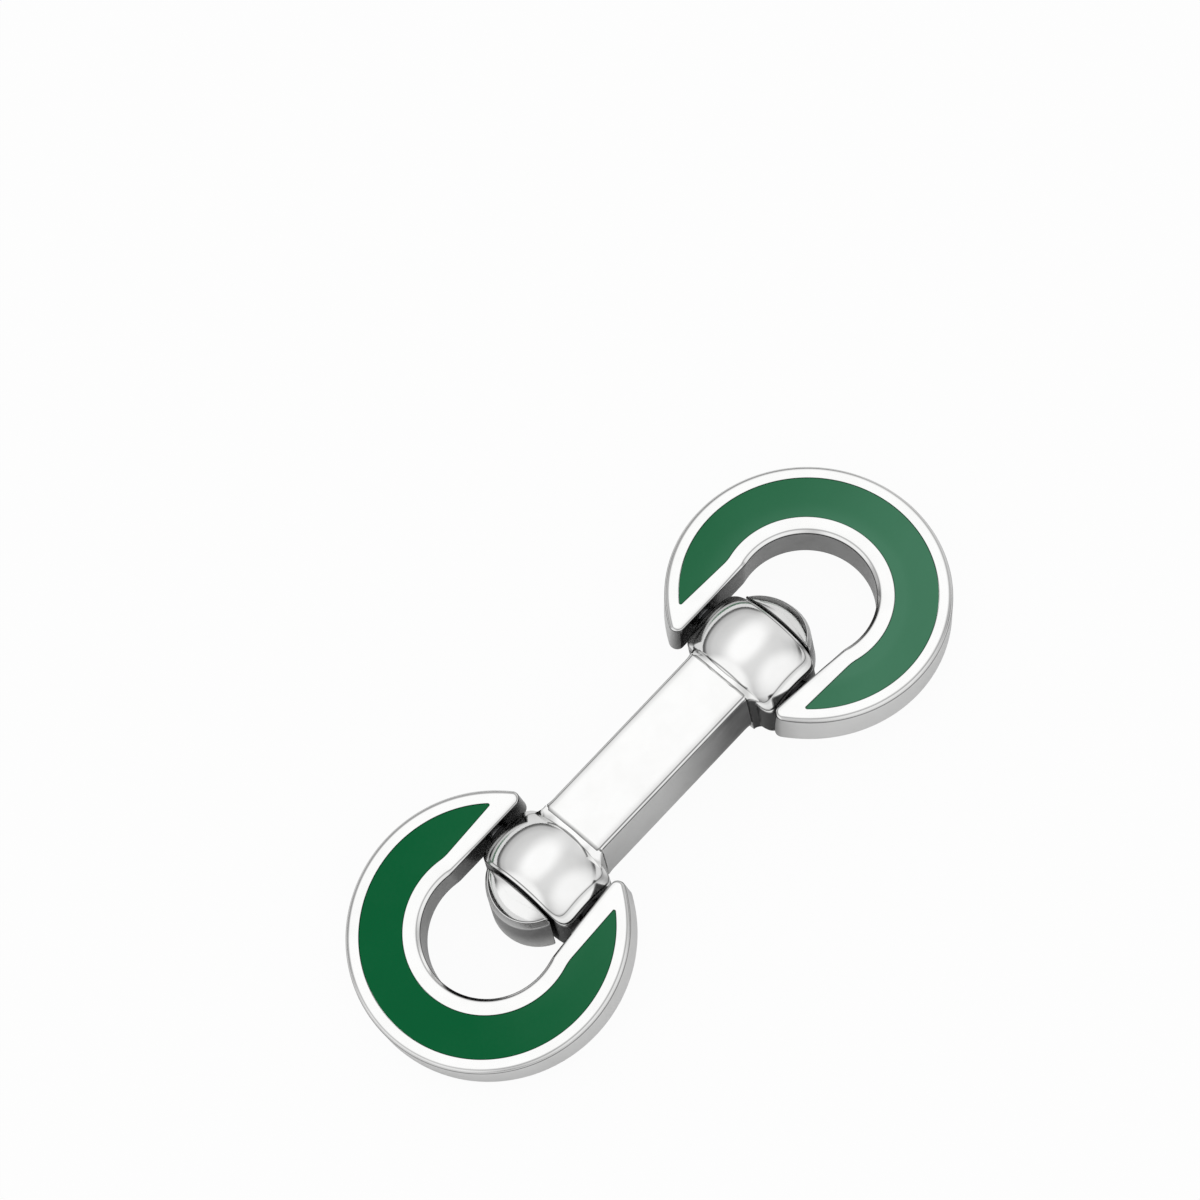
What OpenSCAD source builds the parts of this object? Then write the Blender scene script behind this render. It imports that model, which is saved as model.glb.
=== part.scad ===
// Double-ended cufflink: a square bar, a hub at each end, and an enamelled horseshoe ring
// that swings on a pin through each hub. It lies on its hubs, with the rings resting on
// the same surface. End a is at -X and end b at +X.

/* [Bar] */
// Length of the bar between its end faces
bar_l = 11.2; // [9:0.1:13]
// Width of the bar across Y
bar_w = 3.9; // [3:0.1:4.2]
// Thickness of the bar in Z
bar_t = 3.9; // [3:0.1:4.2]
// Bevel along the bar's long edges and round its ends
bar_bevel = 0.18; // [0.05:0.01:0.4]
// Diameter of the round spigot at each end of the bar
spigot_d = 2.2; // [1.6:0.1:2.6]
// Gap left between a spigot's end and the hinge bore's wall
spigot_stop = 0.4; // [0.2:0.05:0.7]

/* [Hinge] */
// Distance between the two hinge axes
hinge_span = 15.7; // [14.8:0.1:17]
// Height of the hinge axes above the hubs' flat feet
hinge_z = 2.7; // [2.4:0.05:3]
// Diameter of the hinge pin
pin_d = 0.9; // [0.6:0.05:1]
// Radial running clearance of the pin in its hub
pin_clear = 0.03; // [0.02:0.005:0.08]
// Diameter of the bearing boss on each cheek of a hub
boss_d = 2.2; // [1.6:0.1:2.4]
// Side clearance between a boss and the ring
side_clear = 0.05; // [0.03:0.01:0.1]

/* [Hub] */
// Width of a hub across its cheeks
hub_w = 5.9; // [5.4:0.1:6.1]
// Radius of the hub's middle band, seen from above
band_r = 3.05; // [2.95:0.01:3.2]
// Length of the middle band along the bar
band_l = 3.5; // [3:0.1:3.8]
// Rounding of the hub's lower edge
foot_round = 0.7; // [0.3:0.05:1]
// Height of the top of the raised pad above the hinge axis
pad_top = 2.5; // [2.3:0.05:2.7]
// Height of the plain dome under the pad, above the hinge axis
dome_top = 2.05; // [1.95:0.05:2.2]
// Radius of the sphere that the plain dome is cut from
dome_r = 4.1; // [3.8:0.1:4.6]
// Length of the raised pad along the bar
pad_l = 3.25; // [2.8:0.05:3.4]
// Radius of the pad's round sides, seen from above
pad_r = 2.7; // [2.5:0.05:2.85]
// Radius of the sphere that the pad's top is cut from
pad_dome_r = 3.7; // [3.5:0.1:4.2]

/* [End caps] */
// Radius of the round ends of a hub, seen from above
cap_r = 2.5; // [2.4:0.05:2.75]
// Distance from the hinge axis to the centre of a round end
cap_x = 0.85; // [0.7:0.05:1]
// Width of the groove between the middle band and the cap
groove_w = 0.16; // [0.1:0.01:0.25]
// Diameter of the land that the cap seats on, inside the groove
land_d = 4.3; // [3.6:0.1:4.4]
// Diameter of the cap's plug in the hub
plug_d = 2.4; // [2.2:0.1:2.8]
// Length of the cap's plug
plug_l = 0.65; // [0.5:0.05:0.8]

/* [Friction plunger and spring] */
// Diameter of the plunger that bears on the hinge pin
plunger_d = 1.5; // [1.2:0.05:1.6]
// Length of the plunger
plunger_l = 0.72; // [0.5:0.02:0.8]
// Radial clearance of the plunger and the spring in their bores
bore_clear = 0.04; // [0.02:0.01:0.08]
// Gap left between pieces that bear on each other end to end
seat_gap = 0.02; // [0.01:0.01:0.05]
// Depth of the spring's seat, measured from the hinge axis
spring_seat = 2.9; // [2.6:0.05:3]
// Outer diameter of the spring
spring_d = 1.4; // [1.1:0.05:1.5]
// Diameter of the spring's wire
wire_d = 0.2; // [0.14:0.02:0.24]
// Number of turns of the spring
spring_turns = 4; // [3:1:5]

/* [Ring] */
// Outer diameter of a ring
ring_d = 14.9; // [14:0.1:16]
// Thickness of a ring
ring_t = 2.2; // [1.8:0.1:2.4]
// Distance from the hinge axis to the ring's centre
ring_x = 4.25; // [4:0.05:4.5]
// Rounding of the ring's outer edges
rim_round = 0.3; // [0.1:0.05:0.5]
// Diameter of the round eye, between its walls
eye_d = 7.24; // [7.1:0.02:7.6]
// Bevel of the eye's edges
eye_bevel = 0.18; // [0.05:0.01:0.3]
// Distance of the eye's centre from the ring's centre, towards the hinge
eye_shift = 0.14; // [0:0.02:0.3]
// Width of the slot between the tips, at their ends
slot_tip_w = 6.55; // [6.5:0.05:6.8]
// Width of the slot at the eye
slot_eye_w = 7.1; // [6.9:0.05:7.3]
// Radius of the rounded tips
tip_round = 0.42; // [0.2:0.02:0.5]

/* [Enamel] */
// Width of the metal border outside the enamel
outer_border = 0.73; // [0.5:0.01:1]
// Width of the flat metal border round the eye
eye_border = 0.72; // [0.5:0.02:1]
// Distance across the slot between the enamel's two straight edges
enamel_gap = 8.66; // [8.3:0.02:9]
// Depth of the enamel
enamel_depth = 0.4; // [0.25:0.05:0.45]

/* [Hidden] */
$fn = 96;
// Overrun of every cut past the face that it opens
over = 1;
ring_r = ring_d / 2;
eye_r = eye_d / 2;
eye_x = ring_x - eye_shift;
pin_r = pin_d / 2;
hinge_x = hinge_span / 2;
// From the hinge axis to the bar's end face, along the hub
bar_end = hinge_x - bar_l / 2;
// Where the cap starts, past the groove
cap_start = band_l / 2 + groove_w;
plug_end = cap_start - plug_l;
slab_h = hinge_z + pad_top + 2 * over;
plunger_start = pin_r + seat_gap;
plunger_end = plunger_start + plunger_l;
plunger_bore_r = plunger_d / 2 + bore_clear;
spring_bore_r = spring_d / 2 + bore_clear;
spigot_end = pin_r + pin_clear + spigot_stop;
// Enamel outlines
enamel_r = ring_r - outer_border;
enamel_eye_r = eye_r + eye_bevel + eye_border;
// Where the slot's walls meet the ring's outer circle, from the hinge axis
tip_x = ring_x - sqrt(pow(ring_r, 2) - pow(slot_tip_w / 2, 2));
// Where the cut for the slot ends, past the ring's outer circle
slot_end = ring_x - ring_r - over;
// Half width of the slot at a distance from the hinge axis
function slot_half(x) = slot_tip_w / 2 + (slot_eye_w - slot_tip_w) / 2 * (x - tip_x) / (eye_x - tip_x);
// A boss ends short of the narrowest part of the slot that passes it
boss_end = slot_half(-boss_d / 2) - side_clear;
// The ring hangs until the rounded lower edge of its rim meets the surface under the hub
rim_reach = ring_x + ring_r - rim_round;
rim_half = ring_t / 2 - rim_round;
droop = asin((hinge_z - rim_round) / norm([rim_reach, rim_half])) - atan2(rim_half, rim_reach);
metal = [0.85, 0.85, 0.84];
inner_metal = [0.72, 0.73, 0.75];
green = [0.03, 0.38, 0.22];

// Puts a piece at the +X hinge, pointing outwards
module at_b() translate([hinge_x, 0, hinge_z]) children();

// Puts the same piece at the -X hinge
module at_a() rotate([0, 0, 180]) at_b() children();

// Turns a ring's pieces down to where the ring rests
module hung() rotate([0, droop, 0]) children();

module along_x(d, from, to) translate([from, 0, 0]) rotate([0, 90, 0]) cylinder(d = d, h = to - from);

module across_y(d, half) rotate([90, 0, 0]) cylinder(d = d, h = 2 * half, center = true);

// Everything between two planes across X
module slab_x(from, to) translate([from, -band_r - over, -hinge_z - over]) cube([to - from, 2 * (band_r + over), slab_h]);

// A ball that reaches up to a height above the hinge axis
module dome(r, top) translate([0, 0, top - r]) sphere(r = r);

// An upright drum on the hub's foot, rounded at its lower edge
module drum(r)
    rotate_extrude() {
        translate([0, -hinge_z]) square([r - foot_round, hinge_z + pad_top]);
        translate([0, foot_round - hinge_z]) square([r, hinge_z + pad_top - foot_round]);
        translate([r - foot_round, foot_round - hinge_z]) circle(r = foot_round);
    }

// A rectangle with bevelled corners
module bevelled(a, b)
    polygon([
        [a / 2 - bar_bevel, b / 2], [a / 2, b / 2 - bar_bevel],
        [a / 2, bar_bevel - b / 2], [a / 2 - bar_bevel, -b / 2],
        [bar_bevel - a / 2, -b / 2], [-a / 2, bar_bevel - b / 2],
        [-a / 2, b / 2 - bar_bevel], [bar_bevel - a / 2, b / 2]
    ]);

// The bar's section, carried along X between two planes
module bar_section(from, to)
    translate([from, 0, 0]) rotate([90, 0, 90]) linear_extrude(to - from) bevelled(bar_w, bar_t);

module bar()
    color(metal) translate([0, 0, hinge_z]) {
        intersection() {
            bar_section(-bar_l / 2, bar_l / 2);
            rotate([90, 0, 0]) linear_extrude(bar_w, center = true) bevelled(bar_l, bar_t);
            linear_extrude(bar_t, center = true) bevelled(bar_l, bar_w);
        }
        along_x(spigot_d, spigot_end - hinge_x, hinge_x - spigot_end);
    }

// A round end of the hub, under the plain dome
module round_end(centre)
    intersection() {
        dome(dome_r, dome_top);
        translate([centre, 0, 0]) drum(cap_r);
    }

module hub()
    color(metal) difference() {
        union() {
            intersection() {
                dome(dome_r, dome_top);
                drum(band_r);
                cube([band_l, hub_w, 2 * hinge_z], center = true);
            }
            intersection() {
                dome(pad_dome_r, pad_top);
                cylinder(r = pad_r, h = pad_top);
                slab_x(-pad_l / 2, pad_l / 2);
            }
            intersection() {
                round_end(-cap_x);
                slab_x(-cap_x - cap_r, -cap_start);
            }
            along_x(land_d, -cap_start, cap_start);
            across_y(boss_d, boss_end);
        }
        across_y(pin_d + 2 * pin_clear, hub_w);
        along_x(plug_d, plug_end, cap_start + over);
        along_x(2 * plunger_bore_r, 0, plug_end + over);
        along_x(spigot_d, -bar_end - over, -spigot_end);
        bar_section(-bar_end - bar_l, -bar_end);
    }

module end_cap()
    color(metal) difference() {
        union() {
            intersection() {
                round_end(cap_x);
                slab_x(cap_start, cap_x + cap_r);
            }
            along_x(plug_d, plug_end, cap_start + over);
        }
        along_x(2 * spring_bore_r, plug_end - over, spring_seat);
    }

module friction_plunger()
    color(inner_metal) along_x(plunger_d, plunger_start, plunger_end);

// Points round the wire, at each step along the helix
wire_sides = 6;
turn_steps = 16;
coil_r = (spring_d - wire_d) / 2;
coil_from = plunger_end + seat_gap + wire_d / 2;
coil_to = spring_seat - seat_gap - wire_d / 2;
coil_steps = spring_turns * turn_steps;
coil_points = [
    for (i = [0 : coil_steps], j = [0 : wire_sides - 1])
        let (a = 360 * i / turn_steps, b = 360 * j / wire_sides, reach = coil_r + wire_d / 2 * cos(b))
            [coil_from + (coil_to - coil_from) * i / coil_steps + wire_d / 2 * sin(b), reach * cos(a), reach * sin(a)]
];
coil_faces = concat(
    [[for (j = [wire_sides - 1 : -1 : 0]) j]],
    [
        for (i = [0 : coil_steps - 1], j = [0 : wire_sides - 1], half = [0, 1])
            let (k = (j + 1) % wire_sides, near = i * wire_sides, far = near + wire_sides)
                half == 0 ? [near + j, near + k, far + k] : [near + j, far + k, far + j]
    ],
    [[for (j = [0 : wire_sides - 1]) coil_steps * wire_sides + j]]
);

module friction_spring()
    color(inner_metal) polyhedron(points = coil_points, faces = coil_faces);

// The ring before its eye and slot are cut, with its outer edges rounded
module ring_blank()
    translate([ring_x, 0, 0]) rotate_extrude() {
        translate([0, -ring_t / 2]) square([ring_r - rim_round, ring_t]);
        translate([0, -rim_half]) square([ring_r, 2 * rim_half]);
        for (side = [1, -1]) translate([ring_r - rim_round, side * rim_half]) circle(r = rim_round);
    }

// The round eye, opened out at both faces so that its edges come out bevelled
module eye_cut()
    translate([eye_x, 0, 0]) rotate_extrude()
        polygon([
            [0, -ring_t / 2 - over], [eye_r + eye_bevel + over, -ring_t / 2 - over],
            [eye_r, eye_bevel - ring_t / 2], [eye_r, ring_t / 2 - eye_bevel],
            [eye_r + eye_bevel + over, ring_t / 2 + over], [0, ring_t / 2 + over]
        ]);

// The slot between the tips
module slot_outline()
    polygon([
        [slot_end, -slot_tip_w / 2], [tip_x, -slot_tip_w / 2], [eye_x, -slot_eye_w / 2],
        [eye_x, slot_eye_w / 2], [tip_x, slot_tip_w / 2], [slot_end, slot_tip_w / 2]
    ]);

module enamel_outline()
    difference() {
        translate([ring_x, 0]) circle(r = enamel_r);
        translate([eye_x, 0]) circle(r = enamel_eye_r);
        translate([slot_end, -enamel_gap / 2]) square([eye_x - slot_end, enamel_gap]);
    }

// What comes off a tip to round its sharp corner, between the slot and the outer circle
tip_centre = [ring_x - sqrt(pow(ring_r - tip_round, 2) - pow(slot_tip_w / 2 + tip_round, 2)), slot_tip_w / 2 + tip_round];
tip_out = (tip_centre - [ring_x, 0]) / norm(tip_centre - [ring_x, 0]);
tip_in = [0, -1];
tip_reach = tip_round + over;
// The rounding crosses the outlines that it blends into by this much, and meets them at a clean edge
blend_lap = 0.005;
tip_corner = tip_centre + tip_reach * (tip_in + tip_out) / (1 + tip_in * tip_out);
module tip_waste()
    difference() {
        polygon([tip_centre, tip_centre + tip_reach * tip_in, tip_corner, tip_centre + tip_reach * tip_out]);
        translate(tip_centre) circle(r = tip_round + blend_lap);
    }

module enamel_body()
    translate([0, 0, ring_t / 2 - enamel_depth]) linear_extrude(enamel_depth) enamel_outline();

module ring_frame()
    color(metal) hung() difference() {
        ring_blank();
        eye_cut();
        linear_extrude(ring_t + 2 * over, center = true) {
            slot_outline();
            tip_waste();
            mirror([0, 1]) tip_waste();
        }
        translate([0, 0, ring_t / 2 - enamel_depth]) linear_extrude(enamel_depth + over) enamel_outline();
        across_y(pin_d, ring_r);
    }

module enamel()
    color(green) hung() enamel_body();

module hinge_pin()
    color(inner_metal) hung() intersection() {
        across_y(pin_d, ring_r);
        ring_blank();
    }

module hub_a() at_a() hub();
module hub_b() at_b() hub();
module end_cap_a() at_a() end_cap();
module end_cap_b() at_b() end_cap();
module hinge_pin_a() at_a() hinge_pin();
module hinge_pin_b() at_b() hinge_pin();
module friction_plunger_a() at_a() friction_plunger();
module friction_plunger_b() at_b() friction_plunger();
module friction_spring_a() at_a() friction_spring();
module friction_spring_b() at_b() friction_spring();
module ring_frame_a() at_a() ring_frame();
module ring_frame_b() at_b() ring_frame();
module enamel_a() at_a() enamel();
module enamel_b() at_b() enamel();

bar();
hub_a();
hub_b();
end_cap_a();
end_cap_b();
hinge_pin_a();
hinge_pin_b();
friction_plunger_a();
friction_plunger_b();
friction_spring_a();
friction_spring_b();
ring_frame_a();
ring_frame_b();
enamel_a();
enamel_b();
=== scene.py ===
import bpy
import numpy as np
from mathutils import Matrix


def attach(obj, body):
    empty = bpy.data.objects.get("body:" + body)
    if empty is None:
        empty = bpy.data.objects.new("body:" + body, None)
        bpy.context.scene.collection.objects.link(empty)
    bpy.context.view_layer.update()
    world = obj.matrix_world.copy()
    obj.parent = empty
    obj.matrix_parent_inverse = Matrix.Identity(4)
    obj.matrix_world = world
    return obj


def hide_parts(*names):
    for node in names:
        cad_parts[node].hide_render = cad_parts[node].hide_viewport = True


# A double-ended cufflink on a pale floor: a square bar, a domed hub at each end, and an enamelled
# horseshoe ring on each hub. Lengths below are in millimetres, and meshes are made in metres.

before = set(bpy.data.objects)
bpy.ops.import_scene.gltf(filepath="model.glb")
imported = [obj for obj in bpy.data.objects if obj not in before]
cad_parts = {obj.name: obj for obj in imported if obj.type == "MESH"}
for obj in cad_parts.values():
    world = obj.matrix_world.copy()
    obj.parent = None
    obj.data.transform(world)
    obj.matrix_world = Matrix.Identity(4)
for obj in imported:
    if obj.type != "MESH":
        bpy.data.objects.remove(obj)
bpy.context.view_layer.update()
scene = bpy.context.scene
mm = 0.001
print("cufflink: frame loaded")

# The frame of the hinges: place and droop of the rings, as the CAD part has them
hinge = {
    "span": 15.7,
    "height": 2.7,
    "droop": 8.1088,
    "pinRadius": 0.45,
}

meshing = {
    "rowGap": 0.25,            # rows further apart than this get even rows between them
    "leadShare": 0.3,          # the most of a flat that the row beside an arc may take
    "sharpAngle": 32,          # degrees from which an edge is drawn sharp
    "fullBend": 14000,         # radians for a metre that count as a fine edge
    "lathePoints": 72,
}


def turnY(points, degrees):
    # Turns points about Y, from Z towards X.
    a = np.radians(degrees)
    x = points[..., 0] * np.cos(a) + points[..., 2] * np.sin(a)
    z = points[..., 2] * np.cos(a) - points[..., 0] * np.sin(a)
    return np.stack([x, points[..., 1], z], axis=-1)


def atEnd(points, end):
    # Takes points from the hinge's own axes to end a (-X) or b (+X) of the cufflink.
    placed = points + np.array([hinge["span"] / 2, 0, hinge["height"]])
    return placed if end == "b" else placed * np.array([-1, -1, 1])


def unit(v):
    # Each vector over its own length.
    return v / np.maximum(np.linalg.norm(v, axis=-1, keepdims=True), 1e-12)


def roundedRows(rows, radii, steps=5, lead=0.02):
    # Rows of points, where each row but the first and last is a corner that becomes an arc.
    # An arc of radius r in a corner of half angle h starts r / tan(h) from it, about a centre
    # r / sin(h) along the bisector. A row just before and after each arc keeps the flats flat, and
    # rows further apart than the row gap get even rows between them.
    count = len(rows)
    ins, outs, halves, reaches = [], [], [], []
    for k in range(1, count - 1):
        a = unit(rows[k - 1] - rows[k])
        b = unit(rows[k + 1] - rows[k])
        half = 0.5 * np.arccos(np.clip((a * b).sum(-1), -1, 1))
        ins.append(a)
        outs.append(b)
        halves.append(half)
        reaches.append(np.asarray(radii[k - 1]) / np.tan(half))
    spans = [np.linalg.norm(rows[k + 1] - rows[k], axis=-1) for k in range(count - 1)]
    padded = [0] + reaches + [0]
    rooms = [np.maximum(spans[k] - padded[k] - padded[k + 1], 0) for k in range(count - 1)]
    gaps = [np.minimum(lead, meshing["leadShare"] * room) for room in rooms]
    made = [rows[0]]
    for k in range(1, count - 1):
        a, b, half, reach = ins[k - 1], outs[k - 1], halves[k - 1], reaches[k - 1]
        radius = np.asarray(radii[k - 1]) * np.ones(len(half))
        centre = rows[k] + unit(a + b) * (radius / np.sin(half))[:, None]
        start = rows[k] + a * reach[:, None]
        stop = rows[k] + b * reach[:, None]
        turn = np.maximum(np.pi - 2 * half, 1e-4)[:, None]
        made.append(start + a * gaps[k - 1][:, None])
        for w in np.linspace(0, 1, steps):
            spoke = np.sin((1 - w) * turn) * (start - centre) + np.sin(w * turn) * (stop - centre)
            made.append(centre + spoke / np.sin(turn))
        made.append(stop + b * gaps[k][:, None])
    made.append(rows[-1])
    filled = [made[0]]
    for low, high in zip(made[:-1], made[1:]):
        distance = np.linalg.norm(high - low, axis=-1).mean()
        parts = max(1, int(np.ceil(distance / meshing["rowGap"])))
        filled += [low + (high - low) * k / parts for k in range(1, parts + 1)]
    return np.array(filled)


def loftFaces(rowCount, around):
    # Four-sided faces between closed rows, each row holding the same number of points.
    k, j = np.meshgrid(np.arange(rowCount - 1), np.arange(around), indexing="ij")
    n = (j + 1) % around
    low, high = k * around, (k + 1) * around
    return np.stack([low + j, low + n, high + n, high + j], axis=-1).reshape(-1, 4)


def horseshoeFaces(around, offset, backwards):
    # Fills a horseshoe row that is even about its middle: point i pairs with point half - i
    # across the band, and the pairs close at the two tips.
    half = around // 2
    tip = half // 2
    i = np.arange(tip - 1)
    left = np.stack([i, i + 1, half - i - 1, half - i], axis=-1)
    right = np.stack([2 * half - i - 1, (2 * half - i) % around, half + i, half + i + 1], axis=-1)
    ends = [[tip - 1, tip, tip + 1], [half + tip - 1, half + tip, half + tip + 1]]
    faces = np.concatenate([left, right]).tolist() + ends
    return [[v + offset for v in (face[::-1] if backwards else face)] for face in faces]


def poleFaces(around, pole, offset, backwards):
    # A fan from a pole to a closed row.
    j = np.arange(around)
    fan = np.stack([j + offset, (j + 1) % around + offset, np.full(around, pole)], axis=-1)
    return (fan[:, ::-1] if backwards else fan).tolist()


def closedShell(rows, firstPole, lastPole):
    # Rows closed by a pole at each end.
    rowCount, around = rows.shape[:2]
    points = np.concatenate([rows.reshape(-1, 3), [firstPole], [lastPole]])
    faces = loftFaces(rowCount, around).tolist()
    faces += poleFaces(around, rowCount * around, 0, True)
    faces += poleFaces(around, rowCount * around + 1, (rowCount - 1) * around, False)
    return points, faces


def horseshoeShell(rows):
    # Rows closed at both ends by a flat horseshoe.
    rowCount, around = rows.shape[:2]
    faces = loftFaces(rowCount, around).tolist()
    faces += horseshoeFaces(around, 0, True)
    faces += horseshoeFaces(around, (rowCount - 1) * around, False)
    return rows.reshape(-1, 3), faces


def volumeOf(points, faces):
    # Sum over the faces' fans of the triple product of their corners, over six.
    total = 0.0
    for size in (3, 4):
        chosen = np.array([face for face in faces if len(face) == size])
        for k in range(1, size - 1):
            if len(chosen):
                a, b, c = points[chosen[:, 0]], points[chosen[:, k]], points[chosen[:, k + 1]]
                total += np.einsum("ij,ij->", a, np.cross(b, c)) / 6
    return total


def readValues(items, name, width, kind):
    # An array with a row for each item of a mesh's list.
    values = np.zeros(len(items) * width, kind)
    items.foreach_get(name, values)
    return values.reshape(-1, width) if width > 1 else values


def storeValues(mesh, name, values):
    # A value at each point, which the materials read by its name.
    attribute = mesh.attributes.new(name, "FLOAT", "POINT")
    attribute.data.foreach_set("value", values.astype(np.float32))


def markEdges(mesh):
    # Stores how sharply the surface bends at each point, from 0 on a flat to 1 on a fine edge.
    # The bend is the angle between an edge's two faces over the distance between their middles.
    normals = readValues(mesh.polygons, "normal", 3, float)
    centres = readValues(mesh.polygons, "center", 3, float)
    loopEdge = readValues(mesh.loops, "edge_index", 1, int)
    loopFace = np.repeat(np.arange(len(normals)), readValues(mesh.polygons, "loop_total", 1, int))
    order = np.argsort(loopEdge, kind="stable")
    edges, faces = loopEdge[order], loopFace[order]
    pair = np.nonzero(edges[1:] == edges[:-1])[0]
    first, second, edge = faces[pair], faces[pair + 1], edges[pair]
    angle = np.arccos(np.clip((normals[first] * normals[second]).sum(1), -1, 1))
    span = np.maximum(np.linalg.norm(centres[first] - centres[second], axis=1), 1e-6)
    bend = np.clip(angle / span / meshing["fullBend"], 0, 1)
    ends = readValues(mesh.edges, "vertices", 2, int)[edge]
    value = np.zeros(len(mesh.vertices))
    np.maximum.at(value, ends[:, 0], bend)
    np.maximum.at(value, ends[:, 1], bend)
    storeValues(mesh, "edgeBend", value)


def eased(value, low, high):
    # A smooth step from 0 at low to 1 at high.
    t = np.clip((value - low) / (high - low), 0, 1)
    return t * t * (3 - 2 * t)


def creaseShade(rows, creases, width=0.03):
    # Fine painted dark lines, standing in for the dark that rounded creases mirror: each fades with the
    # distance d to its crease by amount * exp(-(d / width) ^ 2).
    shade = np.zeros(rows.shape[:2])
    for crease, amount in creases:
        away = np.linalg.norm(rows - crease[None], axis=-1)
        shade = np.maximum(shade, amount * np.exp(-(away / width) ** 2))
    return shade


def makePiece(name, shells, body, replaced, material):
    # Joins closed shells into one object, faces outwards, and puts it on its body. Each shell
    # has points, faces and, for each point, how much painted shade it carries.
    points, faces, paintedShades = [], [], []
    start = 0
    for shellPoints, shellFaces, paintedShade in shells:
        if volumeOf(shellPoints, shellFaces) < 0:
            shellFaces = [face[::-1] for face in shellFaces]
        faces += [[v + start for v in face] for face in shellFaces]
        points.append(shellPoints)
        paintedShades.append(paintedShade)
        start += len(shellPoints)
    mesh = bpy.data.meshes.new(name)
    mesh.from_pydata((np.concatenate(points) * mm).tolist(), [], faces)
    mesh.update()
    mesh.polygons.foreach_set("use_smooth", np.ones(len(mesh.polygons), bool))
    mesh.set_sharp_from_angle(angle=np.radians(meshing["sharpAngle"]))
    markEdges(mesh)
    # The painted shade: how far each point is darkened to stand in for shade and mirrored dark
    storeValues(mesh, "paintedShade", np.concatenate(paintedShades))
    piece = bpy.data.objects.new(name, mesh)
    scene.collection.objects.link(piece)
    mesh.materials.append(material)
    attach(piece, body)
    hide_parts(*replaced)
    print("cufflink:", name, len(mesh.polygons), "faces")


# Materials

def fill(tree, node, inputs):
    # Gives each input that is named a value, or a link from a socket.
    for key, value in inputs.items():
        if isinstance(value, bpy.types.NodeSocket):
            tree.links.new(value, node.inputs[key])
        else:
            node.inputs[key].default_value = value


def newNode(tree, kind, inputs=None, **settings):
    # A node with its settings, and then its inputs.
    node = tree.nodes.new(kind)
    for key, value in settings.items():
        setattr(node, key, value)
    fill(tree, node, inputs or {})
    return node


def mathStep(tree, operation, *terms, **settings):
    # One step of arithmetic on values or sockets.
    step = newNode(tree, "ShaderNodeMath", dict(enumerate(terms)), operation=operation, **settings)
    return step.outputs[0]


def vectorStep(tree, operation, *terms):
    # The same on vectors. It gives the node, because a length comes out beside the vector.
    return newNode(tree, "ShaderNodeVectorMath", dict(enumerate(terms)), operation=operation)


def noise(tree, place, scale, detail, roughness=0.5):
    # Soft spots from 0 to 1, with about this scale of them to a metre.
    inputs = {"Vector": place, "Scale": scale, "Detail": detail, "Roughness": roughness}
    return newNode(tree, "ShaderNodeTexNoise", inputs).outputs["Fac"]


def spread(tree, value, source, target=(0, 1), **settings):
    # Takes a value evenly from one range to another, and holds it there.
    inputs = {"Value": value, "From Min": source[0], "From Max": source[1],
              "To Min": target[0], "To Max": target[1]}
    return newNode(tree, "ShaderNodeMapRange", inputs, **settings).outputs["Result"]


def mixColors(tree, factor, first, second, blend="MIX"):
    # Blends the second colour into the first by the factor.
    inputs = {"Factor": factor, "A": first, "B": second}
    return newNode(tree, "ShaderNodeMix", inputs, data_type="RGBA", blend_type=blend).outputs["Result"]


finishGrain = {
    "smudgeScale": 420,            # scales are spots to a metre
    "smudgeMask": (0.42, 0.72),    # noise levels at which smudges start and are full
    "hairs": [                     # turn and scale of each set of hairlines
        ((0.1, 0.2, 0.5), (300, 9000, 5000)),
        ((0.2, 0.1, -0.7), (260, 8000, 6000)),
    ],
    "hairMask": (0.62, 0.8),
    "chipScale": 2600,
    "chipMask": (0.3, 0.75),
    "paintedShadeShift": (0.85, 1.15),  # how unevenly the painted shade lies
    "smudgeRough": 0.09,
    "hairRough": 0.12,
    "wornRough": 0.12,
    "paintedShadeRough": 0.16,
    "smudgeTint": (0.9, 0.9, 0.89, 1),
    "wornTint": (0.3, 0.3, 0.3, 1),
    # colour that the painted shade darkens the metal towards
    "paintedShadeTint": (0.02, 0.02, 0.021, 1),
    "smudgeHeight": 0.4,
}


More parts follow.
